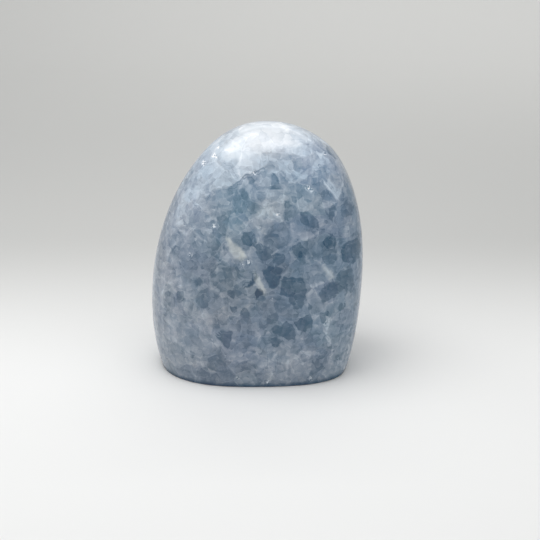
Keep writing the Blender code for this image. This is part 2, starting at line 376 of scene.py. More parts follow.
# Pale lines and streaks between them: name, level, half width in pixels, points in pixels
FRONT_VEINS = (
    ("curl in the band", 8.5, 1, ((228, 161), (233, 163), (238, 169), (239, 173))),
    ("outer lath", 10, 1, ((324, 182), (330, 190), (337, 198))),
    ("inner lath", 8, 1, ((328, 179), (333, 186), (337, 193))),
    ("triangle's side", 8.4, 0.9, ((343, 183), (340, 192), (338, 198))),
    ("blade's edge, right", 6.3, 1.2, ((309, 209), (314, 203), (319, 198))),
    ("ring of the round grain", 6.2, 1.1, ((255, 193), (257, 201), (262, 204), (267, 199), (268, 193))),
    ("pale curl", 6.2, 1.2, ((254, 224), (258, 228), (261, 236), (258, 241))),
    ("edge of the deep zone", 5, 1, ((276, 252), (283, 249), (291, 246), (299, 241))),
    ("edge over the straight top", 4.6, 1.4, ((282, 275), (292, 275), (303, 277))),
    ("arch over the round grain", 4.9, 1.6, ((185, 297), (190, 293), (197, 290), (203, 285), (208, 284),
     (213, 289), (221, 294))),
    ("arch's left foot", 6, 1.2, ((186, 298), (186, 305), (189, 311), (196, 318), (203, 330))),
    ("bright crescent, left", 5.9, 1.2, ((165, 258), (169, 250), (175, 244), (178, 238))),
    ("white chip, left", 7.9, 1.6, ((182, 231), (186, 234), (190, 230))),
    ("pale edge, left", 6.8, 1, ((194, 231), (199, 237), (205, 241))),
    ("pale edge by the dark grain", 7, 1.2, ((208, 220), (213, 217), (217, 223))),
    ("arch edge, small", 4.4, 0.9, ((239, 318), (239, 310), (243, 306), (248, 307), (251, 312), (253, 318),
     (259, 318))),
    ("edge of the teal grain", 3.2, 1, ((263, 319), (264, 325), (270, 327), (277, 324))),
    ("edge by the lens", 3.5, 1.2, ((292, 320), (299, 316), (305, 312), (311, 311))),
    ("edge below the lens", 4.4, 1.2, ((296, 331), (299, 340), (303, 346))),
    ("hook over the block", 5.2, 1.1, ((310, 330), (315, 326), (322, 326), (326, 331))),
    ("strip between the dark grains", 2.8, 1.4, ((268, 335), (276, 336), (283, 340))),
    ("edge right of the triangle", 4.4, 1, ((284, 341), (278, 348), (270, 351))),
    ("fibre, base", 4, 1, ((282, 346), (281, 362), (278, 374))),
    ("second fibre, base", 4.8, 1, ((272, 350), (271, 364), (268, 378))),
    ("third fibre, base", 6.2, 0.9, ((288, 360), (286, 376))),
    ("edge right of the pentagon", 4.8, 1.2, ((337, 240), (338, 250), (338, 262))),
    ("edge left of the trapezoid", 5.5, 1.2, ((341, 246), (347, 240), (354, 237))),
    ("chip of the band", 3.5, 1.2, ((334, 274), (338, 270))),
    ("right rim band", 3.4, 2.4, ((359, 262), (357, 285), (354, 310), (350, 335), (345, 360))),
    ("left spark", 5.8, 1.4, ((162, 296), (162, 303))),
    ("lower left edge", 5.6, 1.2, ((209, 332), (214, 336), (221, 345), (227, 352))),
    ("top of the triangle", 4.2, 1, ((213, 330), (223, 329), (233, 330))),
    ("long edge, centre right", 5.6, 1.1, ((274, 253), (283, 249), (292, 244), (302, 240), (312, 236),
     (317, 233))),
    ("white edge of the cloud", 6.1, 1.4, ((318, 262), (324, 266), (329, 272), (332, 277))),
    ("swirl by the triangle", 5, 1.6, ((230, 356), (241, 353), (250, 349), (256, 349))),
    ("second swirl", 5.2, 1.2, ((234, 362), (244, 357), (254, 355))),
    ("pale run, lower left", 5.2, 1.2, ((184, 309), (192, 311), (197, 313), (205, 322), (211, 330),
     (217, 333))),
    ("left pale run", 5.7, 1.4, ((168, 316), (170, 328), (174, 338), (184, 347), (190, 356))),
    ("branch of that run", 5.8, 1.1, ((176, 320), (172, 328), (176, 334))),
    ("edge under the fan", 6.6, 1, ((257, 191), (270, 190), (288, 190))),
    ("edge of the violet zone", 5, 1, ((260, 240), (266, 232), (272, 224), (280, 219))),
    ("edge under the violet block", 3.9, 1, ((324, 266), (332, 266), (338, 262))),
    ("pale edge, right foot", 4.1, 1.2, ((344, 318), (350, 330), (346, 344), (338, 352))),
    ("edge over the teal block", 3.7, 1, ((304, 338), (308, 330), (314, 327))),
    ("edge left of the block", 5.3, 1, ((303, 342), (305, 350), (312, 354), (320, 354))),
    ("pale line, upper left", 6.2, 1, ((196, 200), (204, 206), (210, 213))),
    ("thin line, right", 5, 0.8, ((340, 203), (339, 212), (338, 222))),
    ("fracture's fine start", 5.8, 0.6, ((206, 197), (212, 191), (220, 188), (229, 187))),
    ("crack of the lilac grain", -1.6, 0.8, ((256, 276), (256, 280), (252, 285), (246, 287))),
    ("edge by the dark diagonal", 3.8, 1, ((336, 350), (332, 360), (328, 370), (322, 378))),
    ("left rim streak", 3.8, 2, ((164, 225), (160, 250), (158, 280), (158, 310), (161, 340), (166, 362))),
    ("fan's right edge", 6.8, 1, ((272, 158), (278, 164), (285, 172), (291, 180))),
    ("fan's dark foot", 1, 0.7, ((271, 189), (276, 189), (282, 189))),
    ("bright edge, upper right", 7.2, 1, ((296, 181), (303, 175), (311, 172))),
    ("outline of the shoulder grain", 7, 0.8, ((328, 154), (334, 159), (339, 168), (342, 177))),
    ("its left outline", 5.2, 0.8, ((321, 167), (325, 174), (326, 181))),
    ("fracture line", 3.2, 0.7, ((232, 186), (235, 184), (240, 181), (242, 177), (246, 175), (251, 174),
     (254, 171), (259, 171), (263, 168))),
    ("pale line, right foot", 6.2, 1.2, ((349, 345), (347, 356), (344, 368))),
)


def linear(hex_colour):
    """An sRGB hex colour such as 8FA3B8 as linear red, green, blue and alpha"""
    channels = [int(hex_colour[i:i + 2], 16) / 255 for i in (0, 2, 4)]
    return tuple(c / 12.92 if c <= 0.04045 else ((c + 0.055) / 1.055) ** 2.4 for c in channels) + (1.0,)


def colour_property(name, description, hex_colour):
    """A colour that a user may change, given as sRGB hex"""
    return bpy.props.FloatVectorProperty(
        name=name, description=description, subtype="COLOR", size=4, min=0.0, max=1.0,
        default=linear(hex_colour),
    )


def length_property(name, description, default):
    """A length that a user may change, in metres"""
    return bpy.props.FloatProperty(
        name=name, description=description, default=default, unit="LENGTH", precision=4
    )


class CalciteSizes(bpy.types.PropertyGroup):
    """Driving dimensions of the stone"""

    height: length_property("Height", "From the flat base to the crown", round(STONE_HIGH.z, 3))
    half_width: length_property("Half width", "Half the width at the waist, seen from the front", 0.0419)
    half_depth: length_property("Half depth", "Half the depth at the waist, front to back", 0.0285)
    waist_height: length_property("Waist height", "Height of the widest level above the base", 0.0317)
    foot_reach: length_property("Foot reach", "Depth below the waist at which the walls would close", 0.065)
    crown_lean: length_property("Crown lean", "How far the crown leans towards +X over the base", 0.006)
    rim_width: length_property("Rim width", "Worn edge round the flat base", 0.001)


class CalciteColours(bpy.types.PropertyGroup):
    """Colours of the stone, from its clearest, darkest grains to its milkiest"""

    deep: colour_property("Deep", "Clear grains seen deep into the stone", "1E415E")
    dark: colour_property("Dark", "Clear grains", "37566F")
    slate: colour_property("Slate", "Darker grains", "546B80")
    blue: colour_property("Blue", "Main body colour", "748699")
    haze: colour_property("Haze", "Cloudy grains", "94A0AF")
    lilac: colour_property("Pale lilac", "Milky veins between the grains", "AEBCCA")
    milk: colour_property("Milk", "Milky places, such as the shoulders", "C9D2DC")
    # The whitest level, seen mostly at the crown, where it is partly painted highlight of the overhead
    # light's sheen
    white: colour_property("White", "The crown, milky with painted sheen", "EBEBEC")
    cream: colour_property("Cream", "Mineral let into the stone in streaks", "C0C5C1")


class CalciteStage(bpy.types.PropertyGroup):
    """The sweep, the lights and the camera"""

    paper: colour_property("Paper", "Matt paper of the sweep, under the stone", "E1E1E0")
    # The greyer paper behind the stone is painted shade of the light that falls off there
    paper_far_shade: colour_property("Far paper", "The same paper where it is greyer, behind the stone", "BFBFBD")
    surround: colour_property("Surround", "Even light from the pale surroundings", "E8E9EA")
    elevation: bpy.props.FloatProperty(
        name="Camera elevation", description="Height of the camera above the horizon",
        default=math.radians(20), subtype="ANGLE",
    )
    distance: length_property("Camera distance", "From the camera to the point it looks at", 0.4517)
    lens: bpy.props.FloatProperty(
        name="Lens", description="Focal length on a sensor 36 mm wide", default=75.0, unit="CAMERA"
    )


# The form of the stone

def plan_spread(turn):
    """How far the outline lies from an ellipse's centre at this turn, seen from above"""
    fullness = PLAN_FULLNESS + PLAN_SKEW * np.cos(turn)
    return (np.abs(np.cos(turn)) ** fullness + np.abs(np.sin(turn)) ** fullness) ** (-1 / fullness)


def crown_shift(level, sizes):
    """Sideways shift of the section at this height"""
    share = np.clip(level / sizes.height, 0, 1) ** LEAN_RISE
    return sizes.crown_lean * (1 - np.cos(np.pi * share)) / 2


def heading(turn, rise):
    """Unit vectors at a turn from +X and a rise above the waist, both in radians"""
    return np.stack([np.cos(rise) * np.cos(turn), np.cos(rise) * np.sin(turn), np.sin(rise)], axis=-1)


def polish_depth(directions):
    """How far below its even form the surface lies in each direction, in metres"""
    depth = np.zeros(len(directions))
    for turn, rise, spread, place_depth in POLISHED_PLACES:
        place = heading(math.radians(turn), math.radians(rise))
        angle = np.degrees(np.arccos(np.clip(directions @ place, -1, 1)))
        depth += place_depth * MM * np.exp(-((angle / spread) ** 2))
    return depth


def to_stone(points, sizes):
    """Move the points of the cut ball to the polished surface, each at its own height"""
    crown_reach = sizes.height - sizes.waist_height
    level = points[:, 2]
    across = points[:, 0] / sizes.half_width
    along = points[:, 1] / sizes.half_depth
    turn = np.arctan2(along, across)
    rise = level - sizes.waist_height
    # Share of the way out to the ball's wall: 1 on the wall itself, less on the base and its rim
    ball_ring = np.sqrt(np.clip(1 - (rise / crown_reach) ** 2, 1e-9, 1))
    inner = np.minimum(np.hypot(across, along) / ball_ring, 1)
    share = np.where(level > WALL_START * sizes.rim_width, 1, inner)
    above = rise > 0
    fullness = np.where(above, CROWN_FULLNESS, FOOT_FULLNESS)
    climb = np.clip(np.abs(rise) / np.where(above, crown_reach, sizes.foot_reach), 0, 1)
    ring = (1 - climb ** fullness) ** (1 / fullness) * plan_spread(turn) * share
    surface = np.stack([
        sizes.half_width * ring * np.cos(turn) + crown_shift(level, sizes),
        sizes.half_depth * ring * np.sin(turn),
        level,
    ], axis=1)
    directions = heading(turn, np.sign(rise) * np.arcsin(climb ** (fullness / 2)))
    outward = directions / (sizes.half_width, sizes.half_depth, crown_reach)
    # The base stays flat: near it the polish only moves the wall sideways
    outward[:, 2] *= np.clip(level / POLISH_START, 0, 1)
    outward /= np.linalg.norm(outward, axis=1)[:, None]
    return surface - outward * (polish_depth(directions) * share)[:, None]


def select_parts(item, kind, wanted):
    """Select just the faces or edges that a test picks, in edit mode"""
    bpy.ops.mesh.select_all(action="DESELECT")
    body = bmesh.from_edit_mesh(item.data)
    for part in getattr(body, kind):
        if wanted(part):
            part.select_set(True)
    bmesh.update_edit_mesh(item.data)


def add_ball(sizes):
    """A ball at the stone's size"""
    bpy.ops.object.select_all(action="DESELECT")
    centre = (0, 0, sizes.waist_height)
    bpy.ops.mesh.primitive_uv_sphere_add(
        segments=BLANK_SEGMENTS, ring_count=BLANK_RINGS, radius=1.0, location=centre
    )
    stone = bpy.context.object
    stone.name = "polished_calcite"
    stone.data.name = "polished_calcite"
    bpy.ops.object.mode_set(mode="EDIT")
    crown_reach = sizes.height - sizes.waist_height
    bpy.ops.transform.resize(
        value=(sizes.half_width, sizes.half_depth, crown_reach), center_override=centre
    )
    bpy.ops.object.mode_set(mode="OBJECT")
    bpy.ops.object.transform_apply(location=True, rotation=True, scale=True)
    return stone


def in_base(face):
    """Whether a face belongs to the flat base"""
    return face.normal.z < -FACING_DOWN and face.calc_center_median().z < TOUCHING


def cut_base(stone, sizes):
    """Cut the ball off flat, round the rim of the cut, and ring the base with loops of faces"""
    bpy.ops.object.mode_set(mode="EDIT")
    bpy.ops.mesh.select_all(action="SELECT")
    bpy.ops.mesh.bisect(plane_co=(0, 0, 0), plane_no=(0, 0, 1), use_fill=True, clear_inner=True)
    bpy.ops.mesh.bevel(offset=sizes.rim_width, segments=RIM_STEPS, profile=ROUND, affect="EDGES")
    select_parts(stone, "faces", in_base)
    for width in BASE_INSETS:
        bpy.ops.mesh.inset(thickness=width, depth=0)
    bpy.ops.object.mode_set(mode="OBJECT")


def refine(stone):
    """Divide the blank finely enough to hold the small forms"""
    finer = stone.modifiers.new("finer", "SUBSURF")
    finer.subdivision_type = "SIMPLE"
    finer.levels = REFINE_LEVELS
    finer.render_levels = REFINE_LEVELS
    bpy.ops.object.modifier_apply(modifier=finer.name)


def get_points(stone):
    """The places of a mesh's vertices, one row each"""
    points = np.empty(len(stone.data.vertices) * 3)
    stone.data.vertices.foreach_get("co", points)
    return points.reshape(-1, 3)


def set_points(stone, points):
    """Put a mesh's vertices at these places"""
    stone.data.vertices.foreach_set("co", points.ravel())
    stone.data.update()


# The markings

# The photograph's frame, in pixels, and the camera's sensor, in mm
FRAME_PIXELS = 540
SENSOR_WIDTH = 36
# The point that the camera looks at, in metres
AIM = Vector((0.00655, 0, 0.0395))
# Facing of a face towards the camera at which the front markings fade out, and at which they are full
FACING_SPAN = (0.04, 0.25)
# Distance from a drawn line, in its own widths, past which it no longer shows
FAR_OFF = 4.0
# Waves of the drawn edges: their height in pixels, then, for the shift across and the shift down, their
# turn per pixel, the swing of that turn, and the turn per pixel of the swing
WAVE_HEIGHT = 0.5
WAVES = ((0.9, 1.3, 0.5), (0.8, 1.1, 0.6))
# Reach of a pit's soft wall, in its own radii
PIT_REACH = 1.3
# Height of the painted shade round the foot of the stone, where the contact shadow falls, and its change of
# level
BASE_SHADE_HEIGHT = 2.6 * MM
BASE_SHADE_CHANGE = -5
# Step along the fracture: how far the stone above it stands proud, and over how many pixels that rises at
# the line, fades upwards, and fades at the two ends
FRACTURE = "fracture line"
FRACTURE_STEP = 0.22 * MM
FRACTURE_RISE = 1.8
FRACTURE_FADE = 14
FRACTURE_ENDS = (12, 8)
# How far the procedural grains give way to the drawn ones: over the whole front, and inside a drawn grain
FRONT_SHARE = 0.35
GRAIN_SHARE = 0.75


def smooth(share):
    """A share from 0 to 1 with soft ends"""
    share = np.clip(share, 0, 1)
    return share * share * (3 - 2 * share)


def camera_axes(stage):
    """The directions from the stone to the camera, and up in its frame"""
    back = np.array((0, -math.cos(stage.elevation), math.sin(stage.elevation)))
    up = np.array((0, math.sin(stage.elevation), math.cos(stage.elevation)))
    return back, up


def frame_places(points, stage):
    """Where points show in the photograph's frame, in pixels across and down"""
    back, up = camera_axes(stage)
    offset = points - np.array(AIM)
    scale = FRAME_PIXELS * stage.lens / SENSOR_WIDTH / (stage.distance - offset @ back)
    return FRAME_PIXELS / 2 + offset[:, 0] * scale, FRAME_PIXELS / 2 - (offset @ up) * scale


def wave(along, beside, shape):
    """A shift in pixels that comes and goes in uneven waves"""
    turn, swing, swing_turn = shape
    return WAVE_HEIGHT * np.sin(turn * along + swing * np.sin(swing_turn * beside))


def waver(across, down):
    """Shift places by about half a pixel, so that no drawn edge is quite straight"""
    return across + wave(down, across, WAVES[0]), down + wave(across, down, WAVES[1])


def line_distance(across, down, points, signed=False):
    """Distance in pixels from each place to a line through some points, signed by the side if asked"""
    nearest = np.full(len(across), np.inf)
    for start, end in zip(points[:-1], points[1:]):
        step = np.subtract(end, start)
        right, below = across - start[0], down - start[1]
        share = np.clip((right * step[0] + below * step[1]) / (step @ step), 0, 1)
        distance = np.hypot(right - share * step[0], below - share * step[1])
        if signed:
            distance = np.copysign(distance, right * step[1] - below * step[0])
        nearest = np.where(np.abs(distance) < np.abs(nearest), distance, nearest)
    return nearest


def grain_distance(across, down, corners):
    """Distance in pixels from each place to a grain's outline, below 0 inside it"""
    inside = np.zeros(len(across), bool)
    for (left, top), (right, bottom) in zip(corners, corners[1:] + corners[:1]):
        if top != bottom:
            crossing = left + (down - top) * (right - left) / (bottom - top)
            inside ^= ((down < top) != (down < bottom)) & (across < crossing)
    nearest = line_distance(across, down, corners + corners[:1])
    return np.where(inside, -nearest, nearest)


def near(across, down, points, reach):
    """Which places lie within a reach of the box round some points"""
    low = np.min(points, axis=0) - reach
    high = np.max(points, axis=0) + reach
    return np.flatnonzero((across > low[0]) & (across < high[0]) & (down > low[1]) & (down < high[1]))


def zone_sum(points, zones):
    """How much the wide zones change the stone at each point"""
    total = np.zeros(len(points))
    for centre, reach, change in zones:
        far = (points / MM - centre) / reach
        total += change * np.exp(-np.sum(far * far, axis=1))
    return total


def vertex_normals(stone):
    """The directions that a mesh's vertices face, one row each"""
    normals = np.empty(len(stone.data.vertices) * 3)
    stone.data.vertex_normals.foreach_get("vector", normals)
    return normals.reshape(-1, 3)


def front_facing(stone, points, stage):
    """How far each vertex faces the camera's side, from 0 to 1"""
    to_camera = np.array(AIM) + camera_axes(stage)[0] * stage.distance - points
    to_camera /= np.linalg.norm(to_camera, axis=1)[:, None]
    facing = np.sum(vertex_normals(stone) * to_camera, axis=1)
    return smooth((facing - FACING_SPAN[0]) / (FACING_SPAN[1] - FACING_SPAN[0]))


def draw_grains(across, down, ground):
    """Level of the nearest drawn grain, distance to its outline in softnesses, and the level outside it"""
    grain = ground.copy()
    edge = np.full(len(ground), FAR_OFF)
    outside = ground.copy()
    shown = ground.copy()
    for name, tone, softness, corners in FRONT_GRAINS:
        some = near(across, down, corners, FAR_OFF * softness)
        distance = grain_distance(across[some], down[some], corners) / softness
        nearest = (distance < 0) | (np.abs(distance) < np.abs(edge[some]))
        chosen = some[nearest]
        outside[chosen] = shown[chosen]
        grain[chosen] = tone
        edge[chosen] = distance[nearest]
        shown[some[distance < 0]] = tone
    return grain, np.clip(edge, -FAR_OFF, FAR_OFF), outside


def draw_patches(across, down, start, patches):
    """A value on the vertices, brought to each patch's own value inside it, one patch after the other"""
    values = start.copy()
    for name, value, softness, corners in patches:
        some = near(across, down, corners, softness)
        distance = grain_distance(across[some], down[some], corners)
        values[some] += (value - values[some]) * smooth(0.5 - distance / (2 * softness))
    return values


def pit_shares(across, down):
    """How deep in a pit each place lies, from 0 to 1, and the pit's depth there in metres"""
    share = np.zeros(len(across))
    depth = np.zeros(len(across))
    for name, (right, below), radius, pit_depth in FRONT_PITS:
        inside = smooth(PIT_REACH - np.hypot(across - right, down - below) / radius)
        share = np.maximum(share, inside)
        depth = np.maximum(depth, inside * pit_depth * MM)
    return share, depth


def draw_veins(across, down):
    """The level of the nearest drawn vein, and the distance to it in half widths, below 0 on its left"""
    vein = np.zeros(len(across))
    offset = np.full(len(across), FAR_OFF)
    for name, tone, half_width, course in FRONT_VEINS:
        some = near(across, down, course, FAR_OFF * half_width)
        distance = line_distance(across[some], down[some], course, signed=True) / half_width
        nearest = np.abs(distance) < np.abs(offset[some])
        vein[some[nearest]] = tone
        offset[some[nearest]] = distance[nearest]
    return vein, offset


def fracture_rise(across, down):
    """How far the stone stands proud above the fracture, in metres, fading upwards and at both ends"""
    course = next(points for name, tone, half_width, points in FRONT_VEINS if name == FRACTURE)
    distance = line_distance(across, down, course, signed=True)
    first, last = course[0][0], course[-1][0]
    ends = smooth((across - first) / FRACTURE_ENDS[0]) * smooth((last - across) / FRACTURE_ENDS[1])
    above = smooth(0.5 + distance / FRACTURE_RISE) * smooth(1 - distance / FRACTURE_FADE)
    return FRACTURE_STEP * above * ends


def cut_relief(stone, stage):
    """Sink the front's pits into the surface, and lift the stone above the fracture"""
    points = get_points(stone)
    front = front_facing(stone, points, stage)
    across, down = frame_places(points, stage)
    lift = (fracture_rise(across, down) - pit_shares(across, down)[1]) * front
    set_points(stone, points + vertex_normals(stone) * lift[:, None])


def draw_front(stone, stage):
    """Keep the front's own fields, grains and veins on the vertices, for the material to draw sharply"""
    points = get_points(stone)
    front = front_facing(stone, points, stage)
    across, down = waver(*frame_places(points, stage))
    zones = BODY_LEVEL + zone_sum(points, MILKY_ZONES)
    ground = draw_patches(across, down, zones, FRONT_FIELDS)
    # Painted shade: the stone is darker just above its base, where the contact shadow falls
    base_shade = BASE_SHADE_CHANGE * smooth(1 - points[:, 2] / BASE_SHADE_HEIGHT)
    ground += base_shade
    zones += base_shade
    grain, edge, outside = draw_grains(across, down, ground)
    vein, offset = draw_veins(across, down)
    marks = {
        "ground": zones + (outside - zones) * front, "front": front,
        "grain": grain, "grain_edge": edge, "vein": vein, "vein_offset": offset,
        "cream": draw_patches(across, down, np.zeros(len(points)), FRONT_CREAM) * front,
        "pits": pit_shares(across, down)[0] * front,
        "tint": zone_sum(points, TINTED_ZONES), "hue": zone_sum(points, HUE_ZONES),
    }
    for name, values in marks.items():
        stone.data.attributes.new(name, "FLOAT", "POINT").data.foreach_set("value", values)


# The material

# The values that the vertices keep, under these names
MARKS = ("ground", "front", "grain", "grain_edge", "vein", "vein_offset", "cream", "pits", "tint", "hue")
# Slow bends of the borders: size and sway in mm, and detail
BEND_SIZE, BEND_SWAY, BEND_DETAIL = 6, 4.0, 3.0
# Middle of a colour's channels, about which a grain's own colour leans
MIDDLE_COLOUR = (0.5, 0.5, 0.5)
# Cleavage grains: size and gap between their fine lines in mm, and shift of the pattern
GRAIN_SIZES = {"big": (8.0, 0.9, 3.0), "small": (4.2, 0.6, 41.0), "chip": (2.2, 0.45, 73.0)}
# Soft clouds, even ones and ones with the slow bends: size in mm, detail, roughness, shift of the pattern
EVEN_CLOUDS = {
    "wide cloud": (16.0, 2.0, 0.5, 5.0),
    "fine cloud": (1.1, 3.0, 0.6, 23.0),
    "vein cloud": (6.0, 2.0, 0.5, 61.0),
    "ragged": (0.8, 2.0, 0.6, 91.0),
    # Flecks of painted glint, shown in the pits
    "glint_flecks": (0.7, 1.0, 0.5, 131.0),
}
BENT_CLOUDS = {
    "soft cloud": (5.0, 5.0, 0.62, 11.0),
    "patches": (3.5, 2.0, 0.6, 17.0),
}
# Tone above which a grain is clear and dark, and how much more makes it fully so
DARK_TONES = {"big": 0.66, "small": 0.62}
DARK_SPAN = 0.08

# What makes up each value: the name of a part, the part's own middle, and its weight.
# The level of milkiness, first from the grains, then from the finer detail
GRAIN_PARTS = (
    ("wide cloud", 0.5, 4.0),
    ("big tone", 0.5, 1.0),
    ("big slope", 0.0, 1.4),
    ("small tone", 0.5, 1.2),
    ("small slope", 0.0, 1.8),
    ("big dark", 0.2, -2.2),
    ("small dark", 0.2, -1.9),
    ("big vein", 0.1, 1.8),
)
DETAIL_PARTS = (
    ("soft cloud", 0.5, 2.8),
    ("fine cloud", 0.5, 1.6),
    ("chip tone", 0.5, 1.1),
    ("chip slope", 0.0, 1.3),
    ("chip lines", 0.0, 0.16),
    ("small lines", 0.0, 0.12),
    ("big lines", 0.0, 0.08),
)
# How raggedly the drawn grains and veins are torn, in softnesses of the grain and half widths of the vein
TORN_GRAIN = (("ragged", 0.5, 0.5),)
TORN_VEIN = (("ragged", 0.5, 0.9),)
# The strength of the blue, as a share, and its hue, in turns of the colour wheel
BLUE_PARTS = (("tint", 0.0, 0.3), ("small tone", 0.5, 0.16), ("wide cloud", 0.5, 0.4))
HUE_PARTS = (("hue", 0.0, 1 / 360), ("big tone", 0.5, 3 / 360), ("wide cloud", 0.5, -4 / 360))
# The height of the uneven polish, in mm, and the strength at which it shows
RELIEF_PARTS = (("big slope", 0.0, 0.06), ("small slope", 0.0, 0.04), ("fine cloud", 0.5, 0.015))
RELIEF_STRENGTH = 0.5

# Setting of a node that takes a value from one span to another with soft ends, then such spans as its
# inputs: from, to, first and last
SOFT = {"interpolation_type": "SMOOTHSTEP"}
CLEAR_SIDE = {1: -0.4, 2: 0.1}
VEIN_WIDTH = {1: 0.42, 2: 0.7, 3: 0.1, 4: 1.5}
INSIDE_VEIN = {1: 0.0, 2: 1.0, 3: 1.0, 4: 0.0}
INSIDE_DRAWN_GRAIN = {1: -0.5, 2: 0.5, 3: 1.0, 4: 0.0}
INSIDE_DRAWN_VEIN = {1: 0.0, 2: 2.2, 3: 0.75, 4: 0.0}
WHOLE_PATCHES = {1: 0.36, 2: 0.54, 3: 0.75, 4: 1.0}
CALM_WHITE = {1: 6.0, 2: 11.0, 3: 1.0, 4: 0.25}
CREAM_PATCHES = {1: 0.38, 2: 0.6, 3: 0.55, 4: 1.25}
# Painted glints: how far the flecks lift the level inside a pit
PAINTED_PIT_GLINTS = {1: 0.40, 2: 0.62, 3: -2.0, 4: 9.0}
DULL_DARK = {1: 1.0, 2: 4.5, 3: 0.5, 4: 1.0}

# How many levels milkier the cream makes the stone
CREAM_LIFT = 6.0
# The colour at each level of milkiness
LADDER = (
    (-2, "deep"), (0, "dark"), (2, "slate"), (4, "blue"),
    (6, "haze"), (8, "lilac"), (10, "milk"), (13, "white"),
)
STONE_IOR = 1.6
STONE_ROUGHNESS = 0.2


def feed(tree, node, inputs):
    """Give a node its inputs: each a value, or the socket that feeds it"""
    for socket, value in inputs.items():
        if isinstance(value, bpy.types.NodeSocket):
            tree.links.new(value, node.inputs[socket])
        else:
            node.inputs[socket].default_value = value


def add(tree, kind, inputs, **settings):
    """Add a node with its inputs and its own settings, and give its outputs"""
    node = tree.nodes.new(kind)
    for name, value in settings.items():
        setattr(node, name, value)
    feed(tree, node, inputs)
    return node.outputs


def new_material(name):
    """A new material, its node tree and its shader"""
    material = bpy.data.materials.new(name)
    material.use_nodes = True
    return material, material.node_tree, material.node_tree.nodes["Principled BSDF"]


def clouds(tree, place, size, detail, roughness, shift):
    """Soft clouds of about this size in mm, from 0 to 1"""
    moved = add(tree, "ShaderNodeVectorMath", {0: place, 1: (shift, -shift, 0.7 * shift)}, operation="ADD")[0]
    inputs = {"Vector": moved, "Scale": 1 / size, "Detail": detail, "Roughness": roughness}
    return add(tree, "ShaderNodeTexNoise", inputs, noise_dimensions="3D")[0]


def bent_place(tree, place):
    """Places with slow bends, so that no border is quite straight for long"""
    inputs = {"Vector": place, "Scale": 1 / BEND_SIZE, "Detail": BEND_DETAIL}
    bend = add(tree, "ShaderNodeTexNoise", inputs)["Color"]
    offset = add(tree, "ShaderNodeVectorMath", {0: bend, 1: MIDDLE_COLOUR}, operation="SUBTRACT")[0]
    inputs = {0: offset, 1: (BEND_SWAY, BEND_SWAY, BEND_SWAY), 2: place}
    return add(tree, "ShaderNodeVectorMath", inputs, operation="MULTIPLY_ADD")[0]


def cleavage_grains(tree, place, size, line_gap, shift):
    """Cleavage grains of about this size in mm: their place, tone of each, slope across it, and fine lines"""
    moved = add(tree, "ShaderNodeVectorMath", {0: place, 1: (shift, shift, shift)}, operation="ADD")[0]
    inputs = {"Vector": moved, "Scale": 1 / size}
    cells = add(tree, "ShaderNodeTexVoronoi", inputs, voronoi_dimensions="3D", feature="F1")
    tone = add(tree, "ShaderNodeSeparateColor", {0: cells["Color"]})[0]
    lean = add(tree, "ShaderNodeVectorMath", {0: cells["Color"], 1: MIDDLE_COLOUR}, operation="SUBTRACT")[0]
    facing = add(tree, "ShaderNodeVectorMath", {0: lean}, operation="NORMALIZE")[0]
    from_heart = add(tree, "ShaderNodeVectorMath", {0: moved, 1: cells["Position"]}, operation="SUBTRACT")[0]
    along = add(tree, "ShaderNodeVectorMath", {0: from_heart, 1: facing}, operation="DOT_PRODUCT")["Value"]
    slope = add(tree, "ShaderNodeMath", {0: along, 1: size}, operation="DIVIDE")[0]
    turns = add(tree, "ShaderNodeMath", {0: along, 1: 2 * math.pi / line_gap}, operation="MULTIPLY")[0]
    lines = add(tree, "ShaderNodeMath", {0: turns}, operation="SINE")[0]
    return {"place": moved, "tone": tone, "slope": slope, "lines": lines}


def add_dark_grains(tree, parts):
    """About a third of the grains are clear and dark, each fading out on one side"""
    for name, tone in DARK_TONES.items():
        inputs = {0: parts[f"{name} tone"], 1: tone, 2: tone + DARK_SPAN}
        dark = add(tree, "ShaderNodeMapRange", inputs, **SOFT)[0]
        side = add(tree, "ShaderNodeMapRange", {0: parts[f"{name} slope"], **CLEAR_SIDE}, **SOFT)[0]
        parts[f"{name} dark"] = add(tree, "ShaderNodeMath", {0: dark, 1: side}, operation="MULTIPLY")[0]


def add_pale_veins(tree, parts):
    """Pale veins round the big grains, which come and go"""
    size = GRAIN_SIZES["big"][0]
    inputs = {"Vector": parts["big place"], "Scale": 1 / size}
    edges = add(tree, "ShaderNodeTexVoronoi", inputs, voronoi_dimensions="3D", feature="DISTANCE_TO_EDGE")
    border = add(tree, "ShaderNodeMath", {0: edges["Distance"], 1: size}, operation="MULTIPLY")[0]
    width = add(tree, "ShaderNodeMapRange", {0: parts["vein cloud"], **VEIN_WIDTH}, **SOFT)[0]
    in_widths = add(tree, "ShaderNodeMath", {0: border, 1: width}, operation="DIVIDE")[0]
    parts["big vein"] = add(tree, "ShaderNodeMapRange", {0: in_widths, **INSIDE_VEIN}, **SOFT)[0]


def add_parts(tree):
    """The parts of the stone's look by name: what its vertices keep, the clouds, the grains and the veins"""
    metres = add(tree, "ShaderNodeTexCoord", {})["Object"]
    place = add(tree, "ShaderNodeVectorMath", {0: metres, "Scale": 1 / MM}, operation="SCALE")[0]
    bent = bent_place(tree, place)
    parts = {name: add(tree, "ShaderNodeAttribute", {}, attribute_name=name)["Fac"] for name in MARKS}
    parts.update({name: clouds(tree, place, *shape) for name, shape in EVEN_CLOUDS.items()})
    parts.update({name: clouds(tree, bent, *shape) for name, shape in BENT_CLOUDS.items()})
    for name, shape in GRAIN_SIZES.items():
        for what, value in cleavage_grains(tree, bent, *shape).items():
            parts[f"{name} {what}"] = value
    add_dark_grains(tree, parts)
    add_pale_veins(tree, parts)
    # The cream is patchy
    patchy = add(tree, "ShaderNodeMapRange", {0: parts["soft cloud"], **CREAM_PATCHES}, **SOFT)[0]
    parts["cream"] = add(tree, "ShaderNodeMath", {0: parts["cream"], 1: patchy}, operation="MULTIPLY")[0]
    return parts


